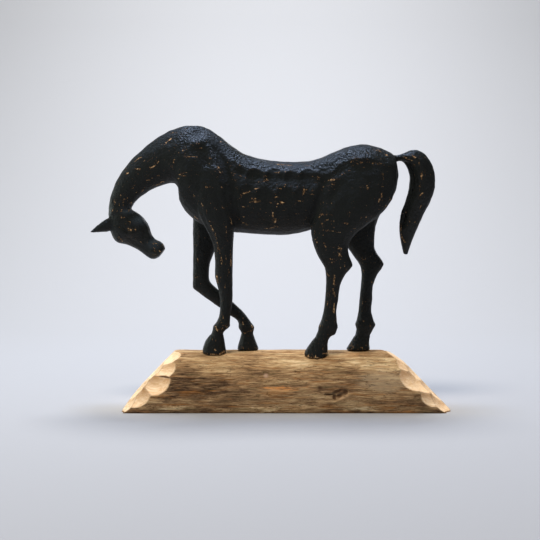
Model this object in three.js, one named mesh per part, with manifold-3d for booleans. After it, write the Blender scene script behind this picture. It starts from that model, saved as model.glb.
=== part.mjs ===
// A carved wooden horse that bows its head, standing on a half log with hewn ends.
// Two pieces: the figure, carved as one, and the log under its hoofs.
//
// Millimetres, +Z up. The horse faces -X and its near side is -Y.
// The origin is the centre of the log's flat underside.

import * as THREE from "three";
import { mergeVertices } from "three/addons/utils/BufferGeometryUtils.js";
import Module from "manifold-3d";

const wasm = await Module();
wasm.setup();

// ---- driving dimensions ----

const LOG_LENGTH = 404;
const LOG_HALF_DEPTH = 68;
const LOG_HEIGHT = 67.8;
const LOG_BOXINESS = 2.3; // 2 is a true half ellipse, more is flatter on top
const LOG_ARC_STEPS = 32;
const SCOOP_DETAIL = 4; // facets of the gouge's sweep
const SEAT_GAP = 0.3; // between the hoofs and the log

const FIGURE_SIDES = { trunk: 26, head: 18, ear: 10, leg: 12, tail: 14 };
const FIGURE_STEPS = { trunk: 2, head: 2, ear: 2, leg: 2, tail: 2 };

// ---- the carving, as sections ----
//
// A section is seen from the side as a line between two opposite outline points, and has
// a middle y, a half width, a boxiness (2 is an ellipse) and a taper (positive makes it
// slimmer at its first outline point).
//   [first x, first z, second x, second z, middle y, half width, boxiness, taper]

const TRUNK = {
  insideHead: [-221, 231, -203, 240, 0, 9, 2.1, 0],
  poll: [-226, 241, -197, 249.5, 0, 12, 2.1, 0],
  throat: [-223, 265, -193, 257, 0, 13.5, 2.1, 0.05],
  crest: [-208, 297, -174, 272, 0, 16, 2.1, 0.1],
  middleOfNeck: [-185, 322, -156, 279.5, 0, 19.5, 2.1, 0.15],
  footOfNeck: [-160, 341.5, -141.5, 281.5, 0, 24, 2.1, 0.2],
  breast: [-134, 353, -136.5, 275, 0, 28.5, 2.2, 0.2],
  frontOfWithers: [-120, 354.5, -135, 259, 0, 32, 2.2, 0.2],
  withers: [-105, 353.5, -129, 248, 0, 34.5, 2.2, 0.2],
  behindWithers: [-89, 345, -115, 234, 0, 36, 2.2, 0.18],
  girth: [-71, 331, -88, 222, 0, 37, 2.2, 0.12],
  ribs: [-52, 318.5, -56, 218.5, 0, 38, 2.2, 0.08],
  barrel: [-20, 310.5, -22, 216, 0, 38.5, 2.2, 0.05],
  belly: [6, 309, 4, 216, 0, 37.5, 2.2, 0.05],
  loin: [31, 310, 28, 221, 0, 35.5, 2.2, 0.05],
  frontOfCroup: [52, 317, 48, 228, 0, 35.5, 2.2, 0.05],
  croup: [73, 326, 68, 236, 0, 37, 2.2, 0.08],
  topOfCroup: [95, 331, 90, 238, 0, 37.5, 2.2, 0.1],
  rump: [113, 328.5, 112, 242, 0, 35.5, 2.2, 0.1],
  buttock: [128, 323, 129, 254, 0, 30, 2.2, 0.1],
  dock: [137, 317.5, 139, 270, 0, 22, 2.2, 0.1],
  underDock: [140, 309, 143, 289, 0, 12, 2.1, 0],
};

const HEAD = {
  insideNeck: [-204, 256, -221, 249, 0, 9, 2.2, 0],
  earLine: [-194, 246.5, -226, 229, 0, 13.5, 2.2, 0],
  cheek: [-186, 242, -223, 218, 0, 15, 2.3, 0.05],
  brow: [-179, 235, -217.5, 208, 0, 15.5, 2.4, 0.1],
  undersideOfCheek: [-174, 226.5, -211, 205.5, 0, 13.5, 2.4, 0.05],
  face: [-172, 219, -202, 203, 0, 11.5, 2.4, 0],
  bars: [-169.5, 214, -191, 198, 0, 9.5, 2.4, 0],
  chin: [-165.5, 210, -182, 192, 0, 9.3, 2.4, 0],
  nostril: [-160.5, 208, -174, 186, 0, 10.5, 2.4, 0],
  muzzle: [-156, 204, -167.5, 185, 0, 10.3, 2.4, 0],
  lips: [-154, 198, -161.5, 188, 0, 7, 2.4, 0],
};

const EAR = {
  rootInHead: [-220, 241, -212, 229, 6.5, 4.5, 2.0, 0],
  base: [-231, 234, -222.5, 221.5, 8, 4.8, 2.0, 0],
  middle: [-240, 227, -233, 219.5, 9.5, 3.6, 2.0, 0],
  tip: [-247.3, 219.6, -247, 218.6, 11, 0.8, 2.0, 0],
};

const TAIL = {
  rootInRump: [130, 320, 130, 307, 0, 6.5, 2.2, 0],
  dock: [140, 317, 141, 309, 0, 5.5, 2.2, 0],
  rise: [149, 319.5, 147, 310, 0, 7, 2.3, 0],
  bend: [157.5, 323, 151, 306.5, 0, 9.5, 2.5, 0],
  top: [167, 324, 155, 300, 0, 11.5, 2.7, 0],
  turn: [178, 317.5, 157.5, 291.5, 0, 12.5, 2.8, 0],
  back: [187, 304, 157.5, 282, 0, 13, 2.8, 0],
  fullest: [190.5, 286, 156, 272, 0, 13, 2.8, 0],
  belowFullest: [188, 267, 152.5, 259, 0, 12.5, 2.8, 0],
  middle: [179.5, 249, 148, 246, 0, 11.5, 2.8, 0],
  narrowing: [171.5, 232, 145.5, 233.5, 0, 10, 2.8, 0],
  end: [165, 217, 145, 221, 0, 8, 2.7, 0],
  nearTip: [160, 204, 147, 208, 0, 6, 2.5, 0],
  tip: [155.5, 190, 150.5, 192, 0, 3.2, 2.3, 0],
};

const NEAR_FORELEG = {
  shoulderTop: [-100, 324, -86, 323, -14, 8, 2, 0],
  shoulderBlade: [-112, 296, -74, 296, -24, 14, 2, 0],
  pointOfShoulder: [-115, 266, -67, 264, -26, 15, 2.1, 0],
  elbow: [-110, 243, -63.5, 240, -25.5, 14.5, 2.2, 0],
  topOfForearm: [-100.5, 224, -65, 218, -23, 13.5, 2.2, 0],
  forearm: [-92, 205, -66, 205, -21, 11.5, 2.2, 0],
  aboveKnee: [-89, 184, -66.5, 184, -20, 10.5, 2.3, 0],
  knee: [-89.5, 163, -67, 161.5, -18, 10.8, 2.5, 0],
  belowKnee: [-85, 147, -67, 144, -17.5, 8.8, 2.3, 0],
  cannon: [-83, 129.5, -67.5, 128.5, -16.5, 7.8, 2.2, 0],
  lowCannon: [-84.5, 113.5, -70, 113.5, -15.5, 7.8, 2.2, 0],
  fetlock: [-90.5, 100.5, -71.5, 101.5, -15, 9.8, 2.3, 0],
  pastern: [-94, 92.5, -78.5, 92.5, -14.5, 8.8, 2.2, 0],
  coronet: [-102, 82, -77.5, 82, -14, 11, 2.2, 0],
  hoof: [-106, 69, -75.5, 69, -13.5, 13, 2.3, 0],
  sole: [-106.5, 58, -73.8, 58, -13.5, 13.2, 2.3, 0],
};

const FAR_FORELEG = {
  shoulderTop: [-100, 324, -86, 323, 14, 8, 2, 0],
  shoulderBlade: [-113, 296, -75, 296, 24, 14, 2, 0],
  pointOfShoulder: [-118.5, 263, -71.5, 262, 25, 15, 2.1, 0],
  elbow: [-120.5, 236, -77, 231, 23, 14, 2.2, 0],
  forearm: [-120, 208, -87, 205, 19, 11.5, 2.2, 0],
  aboveKnee: [-120, 180, -97.5, 180, 17, 10.5, 2.3, 0],
  knee: [-120, 161, -99, 163, 15.5, 10.8, 2.5, 0],
  kneeBend: [-118.5, 148, -97.5, 155, 15, 10.3, 2.5, 0],
  belowKnee: [-109.5, 138.5, -90.5, 148, 14, 8.8, 2.3, 0],
  cannon: [-94.5, 128, -79.5, 139, 12.5, 8, 2.2, 0],
  lowCannon: [-70.5, 111, -56.5, 118.5, 10, 7.8, 2.2, 0],
  aboveFetlock: [-61.5, 104.5, -47, 107, 9, 8.3, 2.2, 0],
  fetlock: [-59.5, 95.5, -41, 96, 8, 9.8, 2.3, 0],
  pastern: [-57.5, 88.5, -41, 87.5, 7, 8.8, 2.2, 0],
  coronet: [-60, 78.5, -38, 78.5, 6.5, 10.8, 2.2, 0],
  hoof: [-62.5, 67.5, -34, 67.5, 6, 13.5, 2.3, 0],
  sole: [-63, 56.5, -33.5, 56.5, 6, 14, 2.3, 0],
};

const NEAR_HIND_LEG = {
  hip: [75, 314, 110, 313, -15, 11, 2, 0],
  croup: [57, 291, 136, 294, -20, 17, 2, 0],
  thigh: [41, 262, 133.5, 261, -23.5, 19, 2.1, 0],
  stifle: [31, 238, 114.5, 238, -25.5, 18, 2.2, 0],
  topOfGaskin: [31, 217, 90, 220, -25.5, 15.5, 2.2, 0],
  gaskin: [35, 201, 78, 203, -24.5, 13, 2.2, 0],
  aboveHock: [41, 187, 79.5, 189, -24, 11, 2.2, 0],
  hock: [48.5, 175, 84, 178, -23.5, 10, 2.4, 0],
  belowHock: [50, 163, 75, 167, -23, 9.3, 2.4, 0],
  topOfCannon: [50, 149, 68, 152, -22.5, 8.5, 2.2, 0],
  cannon: [49, 134, 66, 135, -22, 7.8, 2.2, 0],
  lowCannon: [47, 119, 63.5, 120, -22, 7.8, 2.2, 0],
  fetlock: [42.5, 103, 64.5, 102, -22, 9.8, 2.3, 0],
  ergot: [41, 96, 62, 94, -22, 9, 2.2, 0],
  pastern: [34.5, 85, 53.5, 84, -22, 9, 2.2, 0],
  coronet: [27.5, 75.5, 53, 73.5, -21.5, 11.3, 2.2, 0],
  hoof: [22, 64.5, 53, 63.5, -21.5, 13.2, 2.3, 0],
  sole: [21.5, 52.5, 53.5, 52.5, -21.5, 13.4, 2.3, 0],
};

const FAR_HIND_LEG = {
  hip: [77, 314, 112, 313, 15, 11, 2, 0],
  croup: [60, 291, 136, 294, 20, 17, 2, 0],
  thigh: [50.5, 262, 134, 261, 23, 19, 2.1, 0],
  stifle: [52.5, 239, 120.5, 236, 23.5, 17.5, 2.2, 0],
  topOfGaskin: [67.5, 215, 116.5, 217, 21.5, 15, 2.2, 0],
  gaskin: [80, 200, 116, 199, 19.5, 12.5, 2.2, 0],
  aboveHock: [88.5, 188, 121.5, 188, 17.5, 11, 2.2, 0],
  hock: [97, 175, 128, 178, 16, 10, 2.4, 0],
  belowHock: [98.5, 164, 119.5, 165, 15, 9.3, 2.4, 0],
  topOfCannon: [97.5, 149.5, 113.5, 150.5, 13.5, 8.5, 2.2, 0],
  cannon: [95.5, 131.5, 112.5, 132.5, 11.5, 7.8, 2.2, 0],
  lowCannon: [94, 116, 111, 116, 9.5, 7.8, 2.2, 0],
  fetlock: [91, 102, 115.5, 100, 8, 9.8, 2.3, 0],
  ergot: [91.5, 93, 111.5, 90.5, 7, 9, 2.2, 0],
  pastern: [87, 83, 108.5, 81.5, 6, 9, 2.2, 0],
  coronet: [81.5, 74.5, 108.5, 72.5, 5, 11.3, 2.2, 0],
  hoof: [76.5, 65, 109.5, 65, 4.5, 13.5, 2.3, 0],
  sole: [75.8, 54, 110, 54, 4.5, 14, 2.3, 0],
};

// The slopes that each end of the log was first sawn to.
//   [reach from the log's middle at the underside, degrees]
const LEFT_SLOPES = [
  [207.5, 46],
  [202.5, 56],
];
const RIGHT_SLOPES = [
  [203.5, 46],
  [232.5, 33],
];

// The scoops that a wide gouge then took out of each end.
//   [x, y and z of the deepest point, degrees it faces round from the log's length towards the
//    near side, degrees it faces up, radius of the gouge's sweep]
const LEFT_SCOOPS = [
  [-142, -44, 48, 40, 40, 24],
  [-150.5, -55.5, 29.5, 50, 40, 24],
  [-176, -61.5, 12.5, 60, 42, 24],
  [-136, -19, 62.5, 25, 52, 46],
  [-144, 14, 61, -20, 48, 45],
  [-163, -24, 42, 15, 45, 50],
  [-165, 6, 40, 0, 45, 50],
  [-162, 36, 40, -25, 45, 45],
  [-182, -32, 22, 20, 45, 50],
  [-184, 2, 20, 0, 45, 50],
  [-181, 34, 21, -15, 45, 50],
  [-194, -52, 7, 35, 45, 40],
  [-199, -14, 5, 10, 45, 50],
  [-198, 20, 5, -5, 45, 50],
  [-193, 53, 7, -35, 45, 40],
  [-142, 45, 47, -40, 40, 26],
  [-152, 58, 27, -52, 40, 25],
  [-175, 62, 11, -62, 40, 24],
];
const RIGHT_SCOOPS = [
  [146, -54, 36, 50, 40, 30],
  [158, -46, 34, 40, 42, 34],
  [170, -67, 10, 60, 40, 26],
  [144, -38, 53, 40, 50, 46],
  [131, 10, 63, -10, 60, 60],
  [159, -26, 42, 20, 45, 50],
  [160, 4, 41, 0, 45, 50],
  [158, 34, 41, -25, 45, 50],
  [178, -30, 22, 20, 45, 50],
  [180, 4, 20, 0, 45, 50],
  [177, 36, 20, -15, 45, 50],
  [188, -55, 7, 35, 45, 34],
  [195, -16, 5, 10, 45, 50],
  [194, 18, 5, -5, 45, 50],
  [189, 53, 7, -35, 45, 40],
  [144, 46, 48, -40, 40, 28],
  [156, 60, 28, -52, 40, 27],
  [175, 64, 10, -62, 40, 24],
];

// ---- solids ----

function solidOf(geometry) {
  geometry.deleteAttribute("normal");
  geometry.deleteAttribute("uv");
  const merged = mergeVertices(geometry, 1e-4);
  return new wasm.Manifold(
    new wasm.Mesh({
      numProp: 3,
      vertProperties: merged.attributes.position.array,
      triVerts: new Uint32Array(merged.index.array),
    }),
  );
}

function geometryOf(solid) {
  const { vertProperties, triVerts } = solid.getMesh();
  const geometry = new THREE.BufferGeometry();
  geometry.setAttribute("position", new THREE.BufferAttribute(vertProperties, 3));
  geometry.setIndex(new THREE.BufferAttribute(triVerts, 1));
  geometry.computeVertexNormals();
  return geometry;
}

const union = (solids) => solids.reduce((all, one) => all.add(one));

// A point of a superellipse's unit outline at an angle.
function rounded(angle, boxiness) {
  const bend = (value) => Math.sign(value) * Math.abs(value) ** (2 / boxiness);
  return [bend(Math.cos(angle)), bend(Math.sin(angle))];
}

// One closed body through named sections, smooth between them.
function loft(sections, sides, steps, side = 1) {
  const rows = Object.values(sections);
  const through = (pick) =>
    new THREE.CatmullRomCurve3(rows.map((row) => new THREE.Vector3(...pick(row))));
  const firstOutline = through(([x, z, , , y]) => [x, y * side, z]);
  const secondOutline = through(([, , x, z, y]) => [x, y * side, z]);
  const widths = through(([, , , , , half, boxiness, taper]) => [half, boxiness, taper]);

  const rings = (rows.length - 1) * steps + 1;
  const points = [];
  for (let ring = 0; ring < rings; ring++) {
    const t = ring / (rings - 1);
    const first = firstOutline.getPoint(t);
    const second = secondOutline.getPoint(t);
    const [half, boxiness, taper] = widths.getPoint(t).toArray();
    const middle = first.clone().add(second).multiplyScalar(0.5);
    const reach = first.sub(middle);
    for (let k = 0; k < sides; k++) {
      const [along, across] = rounded((2 * Math.PI * k) / sides, boxiness);
      const width = half * (1 - taper * along) * across;
      const offset = new THREE.Vector3(0, width, 0);
      points.push(middle.clone().addScaledVector(reach, along).add(offset));
    }
    if (ring === 0 || ring === rings - 1) points.push(middle);
  }
  return closedTube(points, rings, sides);
}

// The rings of points as a closed body. The first ring's centre follows it, and the last's.
function closedTube(points, rings, sides) {
  const start = (ring) => ring * sides + (ring > 0 ? 1 : 0);
  const faces = [];
  for (let k = 0; k < sides; k++) {
    const next = (k + 1) % sides;
    faces.push([sides, k, next]);
    for (let ring = 0; ring < rings - 1; ring++) {
      const [a, b] = [start(ring), start(ring + 1)];
      faces.push([a + k, b + k, b + next], [a + k, b + next, a + next]);
    }
    const last = start(rings - 1);
    faces.push([points.length - 1, last + next, last + k]);
  }
  const geometry = new THREE.BufferGeometry().setFromPoints(points);
  geometry.setIndex(faces.flat());
  return outward(geometry, faces);
}

// The geometry as a solid, with its faces turned to point outwards.
function outward(geometry, faces) {
  const solid = solidOf(geometry);
  if (solid.volume() > 0) return solid;
  geometry.setIndex(faces.map(([a, b, c]) => [a, c, b]).flat());
  return solidOf(geometry);
}

// ---- the log ----

function halfLog() {
  const outline = new THREE.Shape();
  outline.moveTo(LOG_HALF_DEPTH, 0);
  for (let k = 1; k <= LOG_ARC_STEPS; k++) {
    const [across, up] = rounded((Math.PI * k) / LOG_ARC_STEPS, LOG_BOXINESS);
    outline.lineTo(across * LOG_HALF_DEPTH, up * LOG_HEIGHT);
  }
  const geometry = new THREE.ExtrudeGeometry(outline, {
    depth: LOG_LENGTH,
    bevelEnabled: false,
    steps: 1,
  });
  geometry.translate(0, 0, -LOG_LENGTH / 2);
  geometry.rotateX(Math.PI / 2);
  geometry.rotateZ(Math.PI / 2);
  return solidOf(geometry);
}

// The block beyond a slope. end is -1 at the horse's head, +1 at its tail.
function beyondSlope([reach, slope], end) {
  const geometry = new THREE.BoxGeometry(LOG_LENGTH, LOG_LENGTH, LOG_LENGTH);
  geometry.translate((end * LOG_LENGTH) / 2, 0, 0);
  geometry.rotateY((-end * (90 - slope) * Math.PI) / 180);
  geometry.translate(end * reach, 0, 0);
  return solidOf(geometry);
}

function scoop([x, y, z, around, up, sweep], end) {
  const [turn, tilt] = [around, up].map((degrees) => (degrees * Math.PI) / 180);
  const facing = new THREE.Vector3(
    end * Math.cos(tilt) * Math.cos(turn),
    -Math.cos(tilt) * Math.sin(turn),
    Math.sin(tilt),
  );
  const centre = new THREE.Vector3(x, y, z).addScaledVector(facing, sweep);
  const geometry = new THREE.IcosahedronGeometry(sweep, SCOOP_DETAIL);
  geometry.translate(centre.x, centre.y, centre.z);
  return solidOf(geometry);
}

function hewnLog() {
  const cuts = [
    ...LEFT_SLOPES.map((one) => beyondSlope(one, -1)),
    ...RIGHT_SLOPES.map((one) => beyondSlope(one, 1)),
    ...LEFT_SCOOPS.map((one) => scoop(one, -1)),
    ...RIGHT_SCOOPS.map((one) => scoop(one, 1)),
  ];
  return cuts.reduce((log, cut) => log.subtract(cut), halfLog());
}

// ---- the figure ----

function figure() {
  const { trunk, head, ear, leg, tail } = FIGURE_SIDES;
  return union([
    loft(TRUNK, trunk, FIGURE_STEPS.trunk),
    loft(HEAD, head, FIGURE_STEPS.head),
    loft(EAR, ear, FIGURE_STEPS.ear, -1),
    loft(EAR, ear, FIGURE_STEPS.ear),
    loft(TAIL, tail, FIGURE_STEPS.tail),
    ...[NEAR_FORELEG, FAR_FORELEG, NEAR_HIND_LEG, FAR_HIND_LEG].map((one) =>
      loft(one, leg, FIGURE_STEPS.leg),
    ),
  ]);
}

// ---- the part ----

const blackPaint = new THREE.MeshStandardMaterial({ color: 0x1b1c1a, roughness: 0.45, metalness: 0 });
const weatheredWood = new THREE.MeshStandardMaterial({ color: 0x8b7250, roughness: 0.8, metalness: 0 });

const log = hewnLog();
const horse = figure().subtract(log.translate([0, 0, SEAT_GAP]));

const part = new THREE.Group();
const addPiece = (name, solid, material) => {
  const mesh = new THREE.Mesh(geometryOf(solid), material);
  mesh.name = name;
  part.add(mesh);
};
addPiece("horse", horse, blackPaint);
addPiece("half_log_base", log, weatheredWood);

export default part;
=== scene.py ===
"""A black-painted carved horse on a half log, as it stands finished on the maker's bench.

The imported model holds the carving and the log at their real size. Each is taken up as a fine
even mesh, cut over with the carver's marks, and given its finish. Places are in millimetres
from the centre of the log's underside, and MM turns them to metres.
"""

import bpy
import numpy as np
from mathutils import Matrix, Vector, noise


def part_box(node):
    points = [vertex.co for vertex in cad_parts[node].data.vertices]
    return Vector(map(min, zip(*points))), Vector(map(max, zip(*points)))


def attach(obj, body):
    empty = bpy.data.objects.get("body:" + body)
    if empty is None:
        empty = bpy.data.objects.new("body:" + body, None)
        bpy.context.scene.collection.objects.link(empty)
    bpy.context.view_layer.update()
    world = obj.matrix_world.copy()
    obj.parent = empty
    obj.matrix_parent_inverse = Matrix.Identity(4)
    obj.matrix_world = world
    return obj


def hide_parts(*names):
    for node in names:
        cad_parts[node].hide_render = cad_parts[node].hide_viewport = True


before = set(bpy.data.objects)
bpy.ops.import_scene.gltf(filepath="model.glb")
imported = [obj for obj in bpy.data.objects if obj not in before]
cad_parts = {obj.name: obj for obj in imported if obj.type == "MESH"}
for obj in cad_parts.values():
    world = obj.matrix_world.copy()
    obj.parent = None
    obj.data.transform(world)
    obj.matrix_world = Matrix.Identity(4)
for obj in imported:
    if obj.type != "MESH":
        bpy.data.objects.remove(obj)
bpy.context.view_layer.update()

MM = 0.001
SEED = 7

# ------ the horse's own measures

HORSE_MESH_MM = 1.56  # spacing of the fine mesh
HORSE_RELAX_TURNS = 18  # turns of smoothing before it is carved
# The hoofs below this height and the ear tips beyond this x keep their crisp planes.
HOOF_CRISP_Z = 72.0
EAR_TIP_X = -236.0
# The scallops of the gouge: how far apart its passes are, the radius of its sweep, how many are
# cut at most, and how deep they are on the body and on the legs.
SCALLOP_SPACING = 13.0
SCALLOP_SWEEP = 60.0
SCALLOP_LIMIT = 900
BODY_SCALLOP, LEG_SCALLOP = 0.55, 0.25
SHARPEST_EDGE = 0.35  # how proud an edge stands where it is rubbed most
SOLE_RIM = (1.0, 4.0)  # the rubbed rim of the soles, above the log

# Lines that the carver cut along each side, seen from the side as x and z in mm:
# name: (points, depth, half width). A negative depth is a raised line.
SIDE_LINES = {
    "behind shoulder": (
        [(-88, 331), (-79, 312), (-72, 292), (-67, 272), (-63, 244), (-62, 226)],
        3.2, 4.4),
    "front of ribs": ([(-78, 316), (-66, 294), (-60, 272), (-56, 246), (-55, 232)], -1.0, 4.0),
    "shoulder blade": ([(-99, 330), (-92, 312), (-84, 288), (-78, 262)], -2.0, 4.6),
    "hollow of shoulder": ([(-104, 328), (-99, 306), (-93, 284), (-90, 262)], 0.8, 4.5),
    "front of arm": ([(-118, 268), (-109, 250), (-100, 230), (-93, 217), (-88, 203)], 1.1, 3.4),
    "flank": ([(50, 286), (42, 266), (36, 244), (29, 224)], 1.8, 4.5),
    "front of thigh": ([(62, 292), (54, 270), (47, 248), (40, 228)], -1.1, 4.5),
    "belly fold": ([(-1, 258), (-12, 253), (-16, 242), (-13, 229)], -0.8, 3.0),
    "belly hollow": ([(-22, 256), (-26, 243), (-22, 230)], 0.8, 5.0),
    "long rib": ([(-58, 262), (-30, 259), (0, 262), (26, 264)], -0.5, 3.2),
    "edge of back": (
        [(-106, 341), (-95, 332), (-80, 318), (-64, 306), (-42, 298), (-25, 294), (0, 293.5),
         (28, 293), (44, 292), (55, 293), (66, 303), (80, 309), (102, 310), (118, 306), (131, 300)],
        -1.3, 2.8),
    "plane of back": (
        [(-96, 342), (-78, 328), (-60, 315), (-38, 306), (-15, 302), (10, 301), (34, 301), (52, 306),
         (70, 315), (92, 320), (112, 317)],
        -1.1, 5.0),
    "under edge of back": (
        [(-68, 297), (-45, 288), (-20, 285), (10, 284), (34, 283), (50, 284), (63, 293), (80, 300),
         (104, 301)],
        0.7, 4.0),
    "front of gaskin": ([(52, 214), (57, 200), (62, 186), (66, 172)], 0.7, 3.0),
}
# The same on the head, neck and tail, which are narrower.
FINE_LINES = {
    "throat latch": ([(-223, 252), (-212, 254), (-203, 256), (-194, 252)], 1.3, 2.0),
    "nape roll": ([(-222, 246), (-212, 245), (-202, 247), (-192, 247)], -0.8, 2.2),
    "edge of face": (
        [(-197, 243), (-184, 236), (-177, 225), (-173, 213), (-162, 205), (-157, 200)],
        -1.1, 1.6),
    "hollow of cheek": ([(-188, 236), (-181, 229), (-178, 219), (-183, 210)], 0.9, 2.2),
    "brow": ([(-216, 227), (-209, 223), (-203, 217)], -1.0, 2.1),
    "under brow": ([(-211, 229), (-204, 224), (-198, 217)], 0.8, 1.7),
    "side of nose": ([(-200, 213), (-188, 205), (-178, 198)], 0.7, 2.2),
    "nostril": ([(-167, 199), (-164, 197), (-162, 194)], 1.2, 1.5),
    "mouth": ([(-165, 207), (-160, 203), (-157, 199)], 0.8, 1.1),
    "middle of tail": (
        [(141, 313), (150, 314), (160, 314), (170, 307), (174, 296), (175, 282), (171, 264), (163, 246),
         (158, 230), (155, 212), (153, 198)],
        -1.5, 2.6),
    "inner edge of tail": (
        [(151, 309), (156, 303), (160, 294), (160.5, 282), (158, 268), (153, 252), (150.5, 238),
         (149.5, 222)],
        -1.3, 1.8),
    "hollow of tail": (
        [(148, 309), (158, 305), (163, 297), (165, 285), (164.5, 273), (161, 264), (157, 254), (152, 244),
         (150, 234), (149, 222)],
        1.5, 1.5),
}
# Long chamfers: the line they start from, the side they lie on, how steeply they fall and how far.
CHAMFERS = {
    "inside of tail": (
        [(150, 312), (158, 306), (163, 297), (165, 284), (163, 268), (158, 252), (155, 238), (153, 220)],
        (-1.0, -0.2), 1.0, 9.0),
}
# Round dents of the wide gouge along the flank below the back: (x, z, radius, depth).
FLANK_GOUGES = [
    (-58, 291, 9, 0.9), (-39, 286, 11.5, 1.7), (-14, 285.5, 12, 1.8), (7, 285, 10, 1.5),
    (28, 285, 11.5, 1.7), (47, 289, 9, 1.1), (-48, 268, 10, 1.0), (-26, 264, 11, 1.2),
    (-2, 265, 11, 1.2), (20, 265, 10, 1.0),
]
# Flat strokes of the knife on each side: (x, z, the way the flat faces, reach, how far the wood
# may move). They stand where the surface is, and tilt it.
FLATS = {
    "front of withers": (-108, 337, (-0.05, -0.66, 0.75), 19, 4.9),
    "top of croup": (92, 319, (0.0, -0.64, 0.77), 22, 5.7),
    "poll": (-202, 246, (0.0, -0.62, 0.78), 9, 2.3),
    "forehead": (-187, 236, (0.22, -0.64, 0.74), 11, 2.9),
    "cheek": (-197, 221, (-0.10, -0.97, 0.22), 9, 2.3),
    "nose": (-169, 206, (0.28, -0.60, 0.75), 9, 2.3),
    "muzzle": (-160, 198, (0.45, -0.80, 0.40), 6, 1.6),
    "chin": (-170, 193, (-0.20, -0.85, -0.48), 7, 1.8),
}
# Corners of the jaw, the far knee and the near hind fetlock, drawn out a little: (x, z, how far
# the wood stands out on x and on z, reach).
CORNERS = [(-211, 209, -1.2, -0.9, 3.8), (-118, 149, -1.4, -1.2, 6), (61, 92, 1.3, -1.6, 5)]
# Raised rings round the legs: (leg's x, z, height, half width). A negative height is a groove.
LEG_RINGS = [
    (-83, 100, 1.3, 3.4), (-50, 97, 1.2, 3.2), (53, 100, 1.1, 4.2), (104, 100, 1.2, 3.4),
    (-86, 91, -0.7, 2.0), (-49, 89, -0.7, 2.0), (49, 88, -0.7, 2.0), (99, 87, -0.7, 2.0),
]
LEG_RING_REACH = 24.0
# Where hands and the carver's rubbing wore the paint through, each a short stroke from x, z to
# x, z, seen from the side: deep ones and slight ones.
WORN_DEEP = [
    (-127, 321, -127, 321), (-130, 293, -123, 293), (-134, 286, -133, 286), (-130, 289, -123, 290),
    (-113, 264, -113, 261), (-84, 300, -83, 299), (-82, 294, -80, 293), (-80, 276, -79, 273),
    (-105, 255, -102, 250), (-102, 250, -99, 245), (-95, 233, -89, 231), (-93, 228, -90, 220),
    (-115, 239, -110, 235), (-69, 238, -68, 230), (-63, 243, -62, 239), (-60, 237, -58, 234),
    (-69, 197, -69, 176), (-57, 289, -55, 288), (-53, 267, -44, 270), (-54, 251, -53, 250),
    (-53, 239, -52, 238), (-54, 231, -51, 230), (-51, 230, -47, 228), (-44, 257, -32, 256),
    (-27, 284, -23, 284), (-25, 289, -24, 284), (-16, 293, -8, 294), (-1, 278, -2, 275),
    (5, 277, 12, 276), (22, 274, 24, 272), (21, 268, 21, 267), (-8, 256, -2, 256), (-10, 255, -12, 250),
    (-17, 246, -16, 239), (-14, 235, -13, 232), (-25, 224, -15, 225), (-84, 201, -81, 191),
    (-81, 191, -80, 180), (-40, 273, -34, 274), (-75, 191, -75, 180), (46, 256, 56, 255),
    (49, 235, 58, 233), (44, 222, 52, 221), (52, 222, 58, 220), (61, 220, 68, 219), (37, 211, 38, 206),
    (46, 206, 49, 201), (49, 176, 50, 167), (56, 186, 57, 179), (98, 279, 100, 273),
    (98, 268, 101, 267), (90, 236, 93, 238), (32, 289, 41, 288), (48, 283, 61, 285),
    (97, 307, 100, 306), (107, 305, 119, 304), (116, 322, 124, 317), (124, 317, 127, 315),
    (159, 316, 163, 313), (167, 308, 169, 302), (171, 294, 171, 286), (169, 266, 173, 269),
    (171, 253, 169, 248), (22, 273, 22, 268), (22, 272, 33, 271), (46, 276, 44, 270),
    (129, 260, 130, 260), (72, 183, 73, 177), (-150, 331, -143, 337), (-183, 312, -182, 313),
    (-188, 299, -183, 298), (-202, 292, -199, 294), (-171, 300, -165, 301), (-175, 284, -172, 285),
    (-168, 278, -160, 280), (-158, 282, -154, 283), (-217, 260, -216, 256), (-196, 256, -189, 257),
    (-209, 245, -206, 249), (-132, 291, -128, 290), (-204, 234, -196, 232), (-199, 223, -194, 222),
    (-212, 214, -207, 208), (-167, 199, -165, 195), (-168, 191, -167, 190), (-114, 265, -114, 262),
    (-211, 256, -210, 253), (-160, 196, -159, 194), (-87, 165, -86, 157), (-94, 66, -87, 65),
    (-84, 66, -75, 71), (-68, 158, -68, 152), (-76, 155, -76, 149), (-45, 102, -42, 97),
    (-88, 101, -86, 95), (60, 166, 60, 154), (59, 149, 61, 140), (99, 107, 100, 105),
    (108, 102, 109, 99), (60, 130, 60, 119), (43, 222, 50, 221), (27, 65, 28, 65), (36, 64, 41, 63),
    (46, 68, 51, 68), (82, 74, 87, 73), (93, 72, 99, 72),
]
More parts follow.
